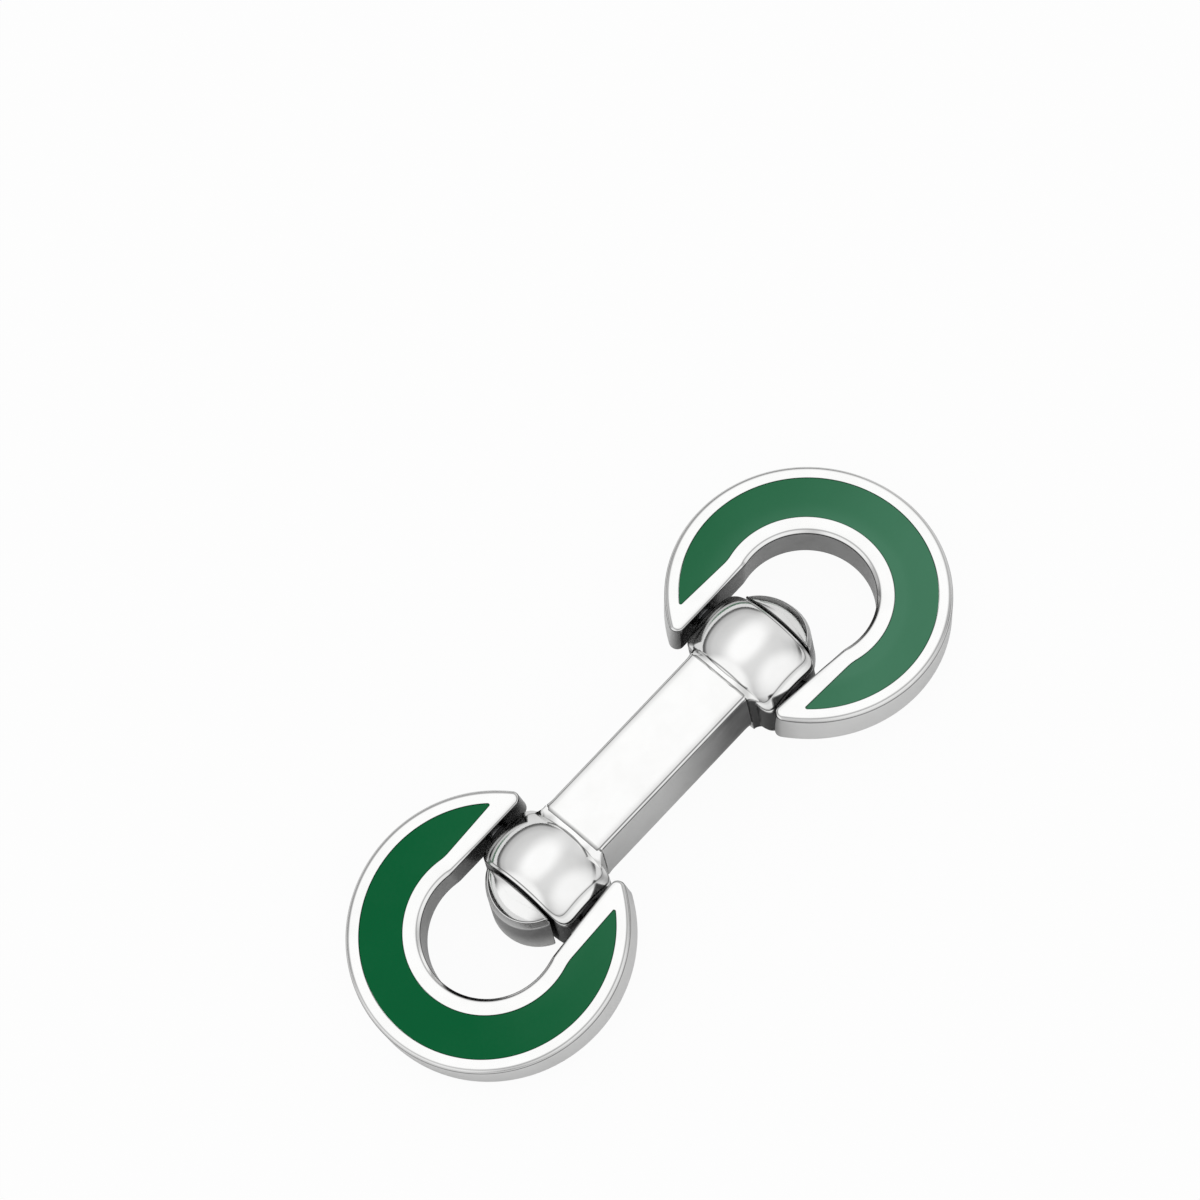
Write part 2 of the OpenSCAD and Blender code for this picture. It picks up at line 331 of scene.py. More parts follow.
def makeFinish(grain):
    # Node group for the look of handled metal, and for painted shade. Masks of soft smudges, fine
    # hairlines, worn edges and painted shade each add a share of themselves to Roughness. Color darkens
    # in smudges and in the painted shade and lightens on edges. Height, for a bump, sinks at hairlines.
    tree = bpy.data.node_groups.new("wearAndPaintedShade", "ShaderNodeTree")

    def addSockets(way, *names):
        for name in names:
            kind = "NodeSocketColor" if name == "Color" else "NodeSocketFloat"
            tree.interface.new_socket(name=name, in_out=way, socket_type=kind)

    addSockets("INPUT", "Color", "Roughness", "Smudge", "Hairlines", "Edge Wear", "Painted Shade")
    addSockets("OUTPUT", "Color", "Roughness", "Height")
    entry = newNode(tree, "NodeGroupInput").outputs
    place = newNode(tree, "ShaderNodeTexCoord").outputs["Object"]

    soft = noise(tree, place, grain["smudgeScale"], 4, 0.6)
    smudge = mathStep(tree, "MULTIPLY", spread(tree, soft, grain["smudgeMask"]), entry["Smudge"])

    strands = []
    for turn, scale in grain["hairs"]:
        turned = newNode(tree, "ShaderNodeMapping", {"Vector": place, "Rotation": turn, "Scale": scale})
        strands.append(noise(tree, turned.outputs["Vector"], 1, 2))
    strand = spread(tree, mathStep(tree, "MAXIMUM", *strands), grain["hairMask"])
    hair = mathStep(tree, "MULTIPLY", strand, entry["Hairlines"])

    bend = newNode(tree, "ShaderNodeAttribute", attribute_name="edgeBend").outputs["Fac"]
    chips = spread(tree, noise(tree, place, grain["chipScale"], 3), grain["chipMask"])
    worn = mathStep(tree, "MULTIPLY", mathStep(tree, "MULTIPLY", bend, chips), entry["Edge Wear"])

    # Painted shade: a stored mask that darkens hollows, undersides and creases in place of shade and
    # mirrored dark
    paintedShade = newNode(tree, "ShaderNodeAttribute", attribute_name="paintedShade").outputs["Fac"]
    uneven = mathStep(tree, "MULTIPLY", paintedShade, spread(tree, soft, (0, 1), grain["paintedShadeShift"]))
    paintedShadeLevel = mathStep(tree, "MULTIPLY", uneven, entry["Painted Shade"], use_clamp=True)

    rough = mathStep(tree, "MULTIPLY_ADD", smudge, grain["smudgeRough"], entry["Roughness"])
    rough = mathStep(tree, "MULTIPLY_ADD", hair, grain["hairRough"], rough)
    rough = mathStep(tree, "MULTIPLY_ADD", worn, grain["wornRough"], rough)
    rough = mathStep(tree, "MULTIPLY_ADD", paintedShadeLevel, grain["paintedShadeRough"], rough)
    color = mixColors(tree, smudge, entry["Color"], grain["smudgeTint"], "MULTIPLY")
    color = mixColors(tree, worn, color, grain["wornTint"], "SCREEN")
    color = mixColors(tree, paintedShadeLevel, color, grain["paintedShadeTint"], "MULTIPLY")
    swell = mathStep(tree, "MULTIPLY", soft, grain["smudgeHeight"])
    height = mathStep(tree, "MULTIPLY_ADD", hair, -1, swell)
    newNode(tree, "NodeGroupOutput", {"Color": color, "Roughness": rough, "Height": height})
    return tree


wearAndPaintedShade = makeFinish(finishGrain)


def finishedMaterial(name, look):
    # A Principled material that the finish group feeds.
    material = bpy.data.materials.new(name)
    material.use_nodes = True
    tree = material.node_tree
    shader = tree.nodes["Principled BSDF"]
    finish = newNode(tree, "ShaderNodeGroup", {
        "Color": (*look["color"], 1),
        "Roughness": look["roughness"],
        "Smudge": look["smudge"],
        "Hairlines": look["hairlines"],
        "Edge Wear": look["edgeWear"],
        "Painted Shade": look["paintedShadeLevel"],
    }, node_tree=wearAndPaintedShade)
    bump = newNode(tree, "ShaderNodeBump", {
        "Strength": look["bump"],
        "Distance": look["bumpDepth"] * mm,
        "Height": finish.outputs["Height"],
    })
    fill(tree, shader, {
        "Base Color": finish.outputs["Color"],
        "Roughness": finish.outputs["Roughness"],
        "Normal": bump.outputs["Normal"],
        "Metallic": look["metallic"],
    })
    return material, tree, shader, finish


metalLook = {
    "color": (0.955, 0.955, 0.95),
    "roughness": 0.08,
    "smudge": 0.4,
    "hairlines": 0.3,
    "edgeWear": 0.4,
    # strength of the painted shade
    "paintedShadeLevel": 1.12,
    "bump": 0.25,
    "bumpDepth": 0.0015,
    "metallic": 1.0,
}
polishedMetal, *_ = finishedMaterial("polishedMetal", metalLook)

steelLook = {
    "color": (0.62, 0.63, 0.65),
    "roughness": 0.24,
    "smudge": 0.8,
    "hairlines": 0.8,
    "edgeWear": 0.3,
    "paintedShadeLevel": 0.5,
    "bump": 0.4,
    "bumpDepth": 0.003,
    "metallic": 1.0,
}
innerSteel, *_ = finishedMaterial("innerSteel", steelLook)

enamelLook = {
    "color": (0.0004, 0.1, 0.03),
    "paleColor": (0.058, 0.188, 0.109),
    "roughness": 0.09,
    "smudge": 0.3,
    "hairlines": 0.15,
    "edgeWear": 0.0,
    "paintedShadeLevel": 0.0,
    "bump": 0.12,
    "bumpDepth": 0.0015,
    "metallic": 0.0,
    "shine": 0.06,
    "tilt": 0.45,              # growth of the pale share along X
    "cross": -0.62,            # and along Y, at the middle of the cufflink
    "crossGrowth": -0.03,      # change of cross for each millimetre of X
    "slope": (-7, 10),         # millimetres between which the share grows from 0 to 1
    "eyeReach": 11.92,         # millimetres from the middle of the cufflink to each eye's
    "paintedReflectionReach": (5.6, 4.4),   # distances from the eye's middle where the painted reflection starts and is full
    # factors on the pale share, far from the eye and near it, for the painted reflection
    "paintedReflection": (0.9, 1.25),
    "depthScale": 260,
    "depthShare": 0.12,
    "speckScale": 5200,
    "speckShare": 0.06,
    "level": (0.09, 1.09),     # sum of slope, depth and specks that goes from deep to pale
}


def makeEnamel(look):
    # Fired enamel: pale by a slope along the cufflink and across each ring, paler still round the eye by a
    # painted reflection, with soft changes of depth, fine specks and a faint gloss. The slope is
    # tilt * x + (cross + crossGrowth * x) * y, and the painted reflection multiplies it.
    material, tree, shader, finish = finishedMaterial("greenEnamel", look)
    place = newNode(tree, "ShaderNodeTexCoord").outputs["Object"]
    parts = newNode(tree, "ShaderNodeSeparateXYZ", {"Vector": place}).outputs
    cross = mathStep(tree, "MULTIPLY_ADD", parts["X"], look["crossGrowth"] / mm, look["cross"])
    crossed = mathStep(tree, "MULTIPLY", cross, parts["Y"])
    tilted = mathStep(tree, "MULTIPLY_ADD", parts["X"], look["tilt"], crossed)
    slope = spread(tree, tilted, [v * mm for v in look["slope"]])
    folded = vectorStep(tree, "ABSOLUTE", place).outputs[0]
    fromEye = vectorStep(tree, "MULTIPLY_ADD", folded, (1, 1, 0), (-look["eyeReach"] * mm, 0, 0)).outputs[0]
    reach = vectorStep(tree, "LENGTH", fromEye).outputs["Value"]
    # Painted reflection: the enamel turns paler towards the eye's edge
    nearEye = [v * mm for v in look["paintedReflectionReach"]]
    paintedReflection = spread(tree, reach, nearEye, look["paintedReflection"], interpolation_type="SMOOTHSTEP")
    share = mathStep(tree, "MULTIPLY", slope, paintedReflection)
    depth = noise(tree, place, look["depthScale"], 2)
    share = mathStep(tree, "MULTIPLY_ADD", depth, look["depthShare"], share)
    speck = noise(tree, place, look["speckScale"], 3)
    share = mathStep(tree, "MULTIPLY_ADD", speck, look["speckShare"], share)
    level = spread(tree, share, look["level"])
    tint = mixColors(tree, level, (*look["color"], 1), (*look["paleColor"], 1))
    fill(tree, finish, {"Color": tint})
    fill(tree, shader, {"IOR": 1.5, "Specular IOR Level": look["shine"]})
    return material


greenEnamel = makeEnamel(enamelLook)
print("cufflink: materials made")


# Rings

ringSizes = {
    "outerRadius": 7.45,
    "thickness": 2.2,
    "centreX": 4.25,
    "eyeRadius": 3.62,
    "eyeX": 4.11,
    "tipHalfWidth": 3.275,     # half width of the slot at the tips
    "eyeHalfWidth": 3.55,      # half width of the slot at the eye
    "tipRound": 0.42,
    "blend": 2.2,              # radius where the slot runs into the eye
    "rimEdge": 0.1757,         # set-back of the rim's rounded edges
    "rimRadius": 0.295,
    "slotEdge": 0.06,
    "slotRadius": 0.09,
    "eyeEdge": 0.18,
    "eyeRadiusOfEdge": 0.035,
    "flatRun": 0.2,            # how far the flats run in from the edges before they are closed
}
# How much painted shade the ring carries at its rim, its slot and its eye, from 0 to 1
ringShade = {
    "wall": [0.1, 0.85, 0.54],
    "backEdge": [0.85, 0.65, 0.65],
    "border": [0.16, 0.1, 0.05],
    "frontLine": [0.75, 0.7, 0.5],
    "wallLine": [1.4, 0.9, 1.6],
    "backLine": [0.8, 0.8, 0.9],
    "lineWidth": 0.035,
    "backFade": (0.22, 0.06),  # height over the back at which its edge's painted shade ends and is full
    "fade": 0.05,              # width over which the walls and the border take on painted shade
}
enamelSizes = {
    "outerRadius": 6.72,
    "eyeRadius": 4.52,
    "halfWidth": 4.33,
    "tipRound": 0.09,
    "blend": 2.6,
    "depth": 0.4,
    "lip": 0.025,              # rounding of the metal's edge round the enamel
    "gap": 0.02,               # fine joint that shows as a dark line
    "edge": 0.05,              # rounding of the enamel's own edge
    "sink": 0.012,             # how far the enamel's face lies under the metal's
    "faceRun": 0.03,           # how far its face runs in from its edge before it is closed
    "clear": 0.002,            # gap between the enamel and the floor of its bed
    "bedRun": 0.06,            # how far out the metal's flat border meets the bed's edge
}
# Points on each part of the half outline, in order. The outer arc has as many as the line, the
# blend and the eye together, so that the two sides of the band pair up.
arcPoints = {"outer": 156, "tip": 20, "line": 44, "blend": 20, "eye": 92}


def arcOf(centre, radius, start, stop, count):
    # Points on a circle, centre + radius * (cos a, sin a), from start up to the last before stop.
    a = np.radians(np.linspace(start, stop, count, endpoint=False))
    return np.stack([centre[0] + radius * np.cos(a), centre[1] + radius * np.sin(a)], axis=-1)


def bearing(v):
    # A vector's angle from X, in degrees.
    return np.degrees(np.arctan2(v[1], v[0]))


def horseshoe(sizes, lineStart, lineStop):
    # A horseshoe outline. Half of it runs from the far point of the outer circle round to the tip,
    # over the tip's arc, along the slot's wall, over the blend and round the eye to its far point,
    # and the mirror image of that closes it.
    # The tip's centre is one tip radius in from both the wall and the circle. The blend's centre
    # is one blend radius in from the wall and one out from the eye. Both come from a quadratic.
    radius, eyeRadius = sizes["outerRadius"], sizes["eyeRadius"]
    tipRound, blend = sizes["tipRound"], sizes["blend"]
    lineStart, lineStop = np.array(lineStart), np.array(lineStop)
    along = unit(lineStop - lineStart)
    inward = np.array([-along[1], along[0]])
    ringCentre, eyeCentre = np.array([ringSizes["centreX"], 0.0]), np.array([ringSizes["eyeX"], 0.0])

    def seated(centre, reach, offset):
        q = lineStart + inward * offset - centre
        run = -(q @ along) - np.sqrt((q @ along) ** 2 - q @ q + reach ** 2)
        return lineStart + inward * offset + along * run

    tip = seated(ringCentre, radius - tipRound, tipRound)
    turn = seated(eyeCentre, eyeRadius + blend, blend)
    outerEnd = bearing(tip - ringCentre)
    wall = bearing(-inward) % 360
    wallStart, wallStop = tip - inward * tipRound, turn - inward * blend
    steps = np.linspace(0, 1, arcPoints["line"], endpoint=False)[:, None]
    half = np.concatenate([
        arcOf(ringCentre, radius, 0, outerEnd, arcPoints["outer"]),
        arcOf(tip, tipRound, outerEnd, wall, arcPoints["tip"]),
        wallStart + (wallStop - wallStart) * steps,
        arcOf(turn, blend, wall, bearing(eyeCentre - turn) % 360, arcPoints["blend"]),
        arcOf(eyeCentre, eyeRadius, bearing(turn - eyeCentre), 0, arcPoints["eye"]),
        [eyeCentre + [eyeRadius, 0]],
    ])
    return np.concatenate([half, half[-2:0:-1] * np.array([1, -1])])


def outwardOf(outline):
    # Normals to the right of a row that runs anticlockwise: its tangent turned back by 90 degrees.
    t = unit(np.roll(outline, -1, axis=0) - np.roll(outline, 1, axis=0))
    return np.stack([t[:, 1], -t[:, 0]], axis=-1)


def alongHalf(values, knotShifts=(0, -6, 0, -18, -4, 0), soften=7):
    # Spreads one value each for the rim, the slot and the eye over the whole row. They run evenly
    # into each other between knots, which lie some points from the ends of the outline's parts,
    # and are then softened by a weighted mean.
    knots = np.cumsum([0, *arcPoints.values()]) + np.array(knotShifts)
    half = np.interp(np.arange(knots[-1] + 1), knots, np.repeat(values, 2))
    kernel = np.hanning(2 * soften + 1)
    half = np.convolve(np.pad(half, soften, mode="edge"), kernel / kernel.sum(), mode="valid")
    return np.concatenate([half, half[-2:0:-1]])


def drawnIn(outline, inset):
    # An outline moved inwards along its normals.
    return outline - outwardOf(outline) * np.broadcast_to(inset, len(outline))[:, None]


def at(xy, z):
    # A row of points at height z.
    return np.concatenate([xy, np.broadcast_to(z, len(xy))[:, None]], axis=1)


def ringShells():
    # The metal's rows run from the flat back, round the back edge, up the wall, round the front
    # edge, over the flat border and down into the enamel's bed. The enamel's run from its top down.
    s, e, shade = ringSizes, enamelSizes, ringShade
    tipX = s["centreX"] - np.sqrt(s["outerRadius"] ** 2 - s["tipHalfWidth"] ** 2)
    metal = horseshoe(s, (tipX, s["tipHalfWidth"]), (s["eyeX"], s["eyeHalfWidth"]))
    enamel = horseshoe(e, (0.0, e["halfWidth"]), (s["eyeX"], e["halfWidth"]))
    edge = alongHalf([s["rimEdge"], s["slotEdge"], s["eyeEdge"]])
    radius = alongHalf([s["rimRadius"], s["slotRadius"], s["eyeRadiusOfEdge"]])
    top = s["thickness"] / 2
    flatEnd, flat = drawnIn(metal, edge + s["flatRun"]), drawnIn(metal, edge)
    back, foot, head, front = at(flat, -top), at(metal, edge - top), at(metal, top - edge), at(flat, top)
    walls = roundedRows([at(flatEnd, -top), back, foot, head, front, at(flatEnd, top)],
                        [radius, radius, radius, radius], steps=7, lead=0.05)
    bed = roundedRows([
        at(drawnIn(enamel, -e["bedRun"]), top),
        at(enamel, top),
        at(enamel, top - e["depth"]),
    ], [e["lip"]], steps=4)
    face = top - e["sink"]
    glass = roundedRows([
        at(drawnIn(enamel, e["gap"] + e["edge"] + e["faceRun"]), face),
        at(drawnIn(enamel, e["gap"]), face),
        at(drawnIn(enamel, e["gap"]), top - e["depth"] + e["clear"]),
    ], [e["edge"]], steps=5, lead=0.01)
    rows = np.concatenate([walls, bed])
    # Painted shade on the metal: darker walls, a dark back edge, a shaded outer border, and fine dark lines
    # at the edges in place of mirrored dark
    height = rows[..., 2]
    inset = np.linalg.norm(rows[..., :2] - metal[None], axis=-1)
    ended, full = shade["backFade"]
    fade = shade["fade"]
    wall = alongHalf(shade["wall"])[None] * eased(top - edge[None] * 0.9 - np.abs(height), -0.02, fade)
    under = alongHalf(shade["backEdge"])[None] * eased(-height, top - ended, top - full)
    under = under * (1 - eased(inset, edge[None] * 0.6, edge[None]))
    border = alongHalf(shade["border"])[None] * eased(edge[None] - (top - height), 0, fade)
    border = border * eased(s["flatRun"] - inset, 0, fade)
    amounts = [alongHalf(shade[key]) for key in ("frontLine", "wallLine", "backLine")]
    lines = creaseShade(rows, zip((front, head, foot), amounts), width=shade["lineWidth"])
    paintedShade = np.minimum(np.maximum.reduce([wall, under, border, lines]), 1)
    return rows, paintedShade.ravel(), glass


def hungRing(rows, end):
    # Closes a horseshoe's rows, at their droop and at their end of the cufflink.
    return horseshoeShell(atEnd(turnY(rows, hinge["droop"]), end))


metalRows, metalPaintedShade, glassRows = ringShells()
glassPaintedShade = np.zeros(glassRows[..., 0].size)
for end in ("a", "b"):
    makePiece("ringFrame_" + end, [(*hungRing(metalRows, end), metalPaintedShade)], "ring_" + end,
              ["ring_frame_" + end], polishedMetal)
    makePiece("enamelInlay_" + end, [(*hungRing(glassRows, end), glassPaintedShade)], "ring_" + end,
              ["enamel_" + end], greenEnamel)


# Hubs and end caps

hubSizes = {
    "padShift": -0.125,        # the pad and band reach further towards the bar than towards the cap
    "bandHalfLength": 1.925,
    "bandHalfWidth": 2.98,
    "bandPower": 7,
    "padHalfLength": 1.805,
    "padHalfWidth": 2.6,
    "padPower": 8,
    "ledge": 0.09,             # fine step at the top of each cheek
    "ledgeEnd": 0.01,          # the same on the two short sides
    "ledgeDrop": 0.1,          # how far the ledge lies under the band's edge
    "padTop": 2.5,
    "padDome": 3.7,            # radius of the ball that the pad's top follows
    "padRoll": 0.06,           # how far the pad's top rolls off at its edge
    "bandSlope": 1.0,          # fall of the bevel band for each millimetre outwards
    "footEdge": 0.45,          # rounding of the foot
    "footShare": 0.4,          # how far out the foot's rows start, as a share of its outline
    "bandEdge": 0.03,
    "padEdge": 0.04,
    "capRadius": 2.5,
    "capCentre": 0.85,
    "capStart": 1.91,
    "collarFrom": -2.35,       # the collar between the bar's end and the hub
    "collarTo": -1.7,
    "collarHalfWidth": 2.0,
    "collarFlare": 0.62,
    "collarTop": 1.78,
    "collarSink": 0.19,        # how far its far edge lies under the pad's
    "capMiddle": 2.45,
    "capDome": 3.75,
    "capTop": 2.4,
    "capPower": 12,
    "facetInset": (0.09, 0.2),     # here and below, at the plane of the groove and at the arc
    "shoulder": (0.05, 0.15),
    "shoulderDrop": (0.12, 0.24),
    "rimWidth": 0.06,
    "rimHeight": 0.03,         # of the rim and of the facet's middle
    "coreRange": (-1.75, 1.95),
    "coreRadius": 1.65,
    "bossRadius": 0.75,
    "bossEnd": 3.27,
    "bossEdge": 0.06,
}
hubShade = {
    # Ranges over which the painted shade grows: outwards, and with the drop from the edge above
    "cheek": (1.7, 2.3),
    "cheekDrop": (0.02, 0.1),
    "groove": (1.76, 1.8),
    "grooveDrop": (0.04, 0.2),
    "collar": (1.9, 2.0),
    "collarDrop": (0.05, 0.2),
    "capDrop": (0.0, 0.12),
    "capFlatDrop": (0.1, 0.3),
    "capWall": 0.75,
    "capClears": (0.9, 3.0),   # drop over which the cap's wall loses some of its painted shade
    "capClearing": 0.8,
    "collarLeast": 0.3,        # share of painted shade on the lighter side of the collar
    "collarTurn": (0.5, 1.9),
    "footFade": 0.3,           # height over which the painted shade fades towards the foot
    "collarFade": 0.2,
    "lines": (0.95, 0.5, 0.8),     # at the ledge, the band's edge and the pad's edge
    "capLines": (0.75, 0.85),  # at the shoulder and at the facet
}
around = 240
theta = np.linspace(0, 2 * np.pi, around, endpoint=False)
sweep = np.stack([np.cos(theta), np.sin(theta)], axis=-1)


def domeHeight(xy, ball, top):
    # Height of a ball that peaks at top: top - ball + sqrt(ball ^ 2 - x ^ 2 - y ^ 2).
    return top - ball + np.sqrt(np.maximum(ball ** 2 - (xy ** 2).sum(-1), 0.01))


def softRectangle(halfLength, halfWidth, power):
    # A rectangle with bowed sides and soft corners. The reach at each bearing is
    # ((|cos| / halfLength) ^ p + (|sin| / halfWidth) ^ p) ^ (-1 / p).
    shares = (np.abs(sweep[:, 0]) / halfLength) ** power + (np.abs(sweep[:, 1]) / halfWidth) ** power
    return sweep * (shares ** (-1 / power))[:, None] + np.array([hubSizes["padShift"], 0])


def padHeight(xy):
    # The dome that a pad's top follows.
    return domeHeight(xy, hubSizes["padDome"], hubSizes["padTop"])


def shadePaintedShell(rows, paintedShade, middle, low, high):
    # A closed shell with its values of painted shade, and none at its poles.
    points, faces = closedShell(rows, [middle, 0, low], [middle, 0, high])
    return points, faces, np.append(paintedShade.ravel(), [0, 0])


def hubCore():
    # Rows from the foot's middle up the cheek, over a fine ledge and the bevel band, and in over
    # the domed pad. The pad's top is the dome less roll * w ^ 6, with w from 0 to 1 outwards.
    s, shade = hubSizes, hubShade
    foot = -hinge["height"]
    band = softRectangle(s["bandHalfLength"], s["bandHalfWidth"], s["bandPower"])
    lipLength, lipWidth = s["bandHalfLength"] + s["ledgeEnd"], s["bandHalfWidth"] + s["ledge"]
    lip = softRectangle(lipLength, lipWidth, s["bandPower"])
    pad = softRectangle(s["padHalfLength"], s["padHalfWidth"], s["padPower"])
    padEdge = padHeight(pad) - s["padRoll"]
    step = np.linalg.norm(lip - band, axis=1)
    bandEdge = padEdge - np.linalg.norm(band - pad, axis=1) * s["bandSlope"]
    ledge = bandEdge - s["ledgeDrop"]
    shares = np.linspace(0.97, 0.04, 22)
    top = [at(pad * w, padHeight(pad * w) - s["padRoll"] * w ** 6) for w in shares]
    corners = [at(lip, ledge - step * 1.4), at(band, ledge - step * 0.4)]     # falls at 45 degrees
    corners += [at(band, bandEdge), at(pad, padEdge)]
    radii = [s["footEdge"], step * 0.3, step * 0.3, s["bandEdge"], s["padEdge"]]
    bottom = at(band * s["footShare"], foot)
    lower = roundedRows([bottom, at(lip, foot), *corners, top[0]], radii, lead=0.03)
    rows = np.concatenate([lower[:-1], np.array(top)])
    # Painted shade: the cheeks darken under the ledge, the wall at the cap's groove darkens, and fine dark
    # lines follow the creases; all fade towards the foot
    below = corners[0][None, :, 2] - rows[..., 2]
    cheek = eased(np.abs(rows[..., 1]), *shade["cheek"]) * eased(below, *shade["cheekDrop"])
    groove = eased(rows[..., 0], *shade["groove"])
    groove = groove * eased(bandEdge[None] - rows[..., 2], *shade["grooveDrop"])
    lines = creaseShade(rows, zip(corners[1:], shade["lines"]))
    paintedShade = np.maximum.reduce([cheek, groove, lines]) * eased(rows[..., 2] - foot, 0, shade["footFade"])
    return shadePaintedShell(rows, paintedShade, 0, foot, s["padTop"])


def collar():
    # The flare that joins the bar's end to the hub. Its half width grows as the square of the
    # way from the bar, and its top runs straight from the bar's top edge down to the pad's edge.
    s, shade = hubSizes, hubShade
    foot = -hinge["height"]
    near, far, half, flare = s["collarFrom"], s["collarTo"], s["collarHalfWidth"], s["collarFlare"]
    way = np.linspace(0, 1, 20)
    up, down = np.linspace(0, half, 17), np.linspace(half + flare, 0, 17)
    barSide = np.stack([np.full(17, near), up], axis=-1)
    flared = np.stack([near + (far - near) * way, half + flare * way ** 2], axis=-1)
    hubSide = np.stack([np.full(17, far), down], axis=-1)
    outline = np.concatenate([barSide[:-1], flared, hubSide[1:]])
    outline = np.concatenate([outline, outline[-2:0:-1] * np.array([1, -1])])
    middle = np.array([(near + far) / 2, 0.0])
    padEnd = s["padShift"] - s["padHalfLength"]

    def rowAt(share):
        xy = middle + (outline - middle) * share
        along = np.clip((xy[:, 0] - near) / (far - near), 0, 1)
        edge = padHeight(np.stack([np.full(len(xy), padEnd), xy[:, 1]], axis=-1)) - s["collarSink"]
        return at(xy, s["collarTop"] + (edge - s["collarTop"]) * along)

    inner = [rowAt(w) for w in np.linspace(0.92, 0.1, 9)]
    wall = rowAt(1)
    bottom = at(middle + (outline - middle) * s["footShare"], foot)
    lower = roundedRows([bottom, at(outline, foot), wall, inner[0]], [0.25, 0.1], lead=0.03)
    rows = np.concatenate([lower[:-1], np.array(inner)])
    # Painted shade on the collar's wall under its top, darker on one side
    under = eased(wall[None, :, 2] - rows[..., 2], *shade["collarDrop"])
    under = under * eased(np.abs(rows[..., 1]), *shade["collar"])
    least = shade["collarLeast"]
    uneven = least + (1 - least) * eased(-rows[..., 1], *shade["collarTurn"])     # full at -Y of end b
    paintedShade = under * uneven * eased(rows[..., 2] - foot, 0, shade["collarFade"])
    return shadePaintedShell(rows, paintedShade, middle[0], foot, s["collarTop"])


def halfMoon():
    # Outline of the cap, as seen from above: a disc cut by a plane at the groove.
    # From a point inside it, the reach at each bearing blends the distances to disc and plane.
    s = hubSizes
    c = s["capMiddle"]
    shift = c - s["capCentre"]
    cosine, sine = sweep[:, 0], sweep[:, 1]
    toDisc = -shift * cosine + np.sqrt(s["capRadius"] ** 2 - (shift * sine) ** 2)
    toPlane = np.maximum(-cosine, 0) / (c - s["capStart"])
    reach = ((1 / toDisc) ** s["capPower"] + toPlane ** s["capPower"]) ** (-1 / s["capPower"])
    return sweep * reach[:, None], np.array([c, 0.0])


def capShell():
    # Rows from the foot up the wall, over a rounded shoulder and a fine raised rim, and in over
    # the lens-shaped facet, all on one dome. The facet's middle stands up by height * (1 - w ^ 4).
    s, shade = hubSizes, hubShade
    foot = -hinge["height"]
    outline, middle = halfMoon()
    onArc = eased(outwardOf(outline)[:, 0], -0.75, 0.15)     # 0 on the plane at the groove, 1 on the arc

    def between(pair):
        return pair[0] + (pair[1] - pair[0]) * onArc

    def onDome(xy, lift):
        return at(xy, domeHeight(xy, s["capDome"], s["capTop"]) + lift)

    def ring(inset, lift):
        return onDome(middle + drawnIn(outline, inset), lift)

    facet, rise = between(s["facetInset"]), s["rimHeight"]
    wallTop = ring(0, -between(s["shoulderDrop"]))
    shoulderRow = ring(between(s["shoulder"]), -rise)
    rimRow = ring(facet - s["rimWidth"], rise)
    facetRow = ring(facet, -rise)
    spokes = facetRow[:, :2] - middle
    inner = [onDome(middle + spokes * w, rise * (1 - w ** 4) - rise) for w in np.linspace(0.95, 0.08, 12)]
    bottom = at(middle + outline * s["footShare"], foot)
    low = at(middle + outline, foot)
    lower = roundedRows([bottom, low, wallTop, shoulderRow, rimRow, facetRow, inner[0]],
                        [0.35, 0.1, 0.05, 0.02, 0.02])
    rows = np.concatenate([lower[:-1], np.array(inner)])
    # Painted shade on the cap's wall under the shoulder and on its flat side at the groove, with fine dark
    # lines at the shoulder and the facet
    inset = np.linalg.norm(rows[..., :2] - low[None, :, :2], axis=-1)
    drop = (wallTop[None, :, 2] - rows[..., 2]) * eased(0.16 - inset, 0, 0.04)
    wall = shade["capWall"] * eased(drop, *shade["capDrop"])
    wall = wall * (1 - shade["capClearing"] * eased(drop, *shade["capClears"]))
    flat = (1 - onArc)[None] * eased(drop, *shade["capFlatDrop"])
    lines = creaseShade(rows, zip((shoulderRow, facetRow), shade["capLines"]))
    paintedShade = np.maximum.reduce([wall, flat, lines])
    return shadePaintedShell(rows, paintedShade, middle[0], foot, domeHeight(middle, s["capDome"], s["capTop"]))


def lathe(profile, axis):
    # A closed solid of revolution: (place along the axis, radius) pairs turned about X or Y.
    count = meshing["lathePoints"]
    turn = np.linspace(0, 2 * np.pi, count, endpoint=False)
    rows = []
    for place, radius in profile:
        ring = np.stack([np.full(count, place), radius * np.cos(turn), radius * np.sin(turn)], axis=-1)
        rows.append(ring if axis == "x" else ring[:, [1, 0, 2]])
    rows = np.array(rows)
    return closedShell(rows, rows[0].mean(0), rows[-1].mean(0))


def crossRod(reach, radius, edge):
    # A rod across the cufflink, along Y, with both its ends bevelled.
    half = [(reach - edge, radius), (reach, radius - edge)]
    return lathe([(-place, width) for place, width in half[::-1]] + half, "y")


# Each hub also has a core, which shows in the groove, and a boss that nearly meets the arms; both are
# painted in full shade
core = lathe([(place, hubSizes["coreRadius"]) for place in hubSizes["coreRange"]], "x")
boss = crossRod(hubSizes["bossEnd"], hubSizes["bossRadius"], hubSizes["bossEdge"])
hubParts = [hubCore(), collar()] + [(*part, np.ones(len(part[0]))) for part in (core, boss)]
capPoints, capFaces, capPaintedShade = capShell()
for end in ("a", "b"):
    shells = [(atEnd(points, end), faces, paintedShade) for points, faces, paintedShade in hubParts]
    makePiece("hubBody_" + end, shells, "body", ["hub_" + end], polishedMetal)
    makePiece("endCap_" + end, [(atEnd(capPoints, end), capFaces, capPaintedShade)], "body", ["end_cap_" + end],
              polishedMetal)


# Bar

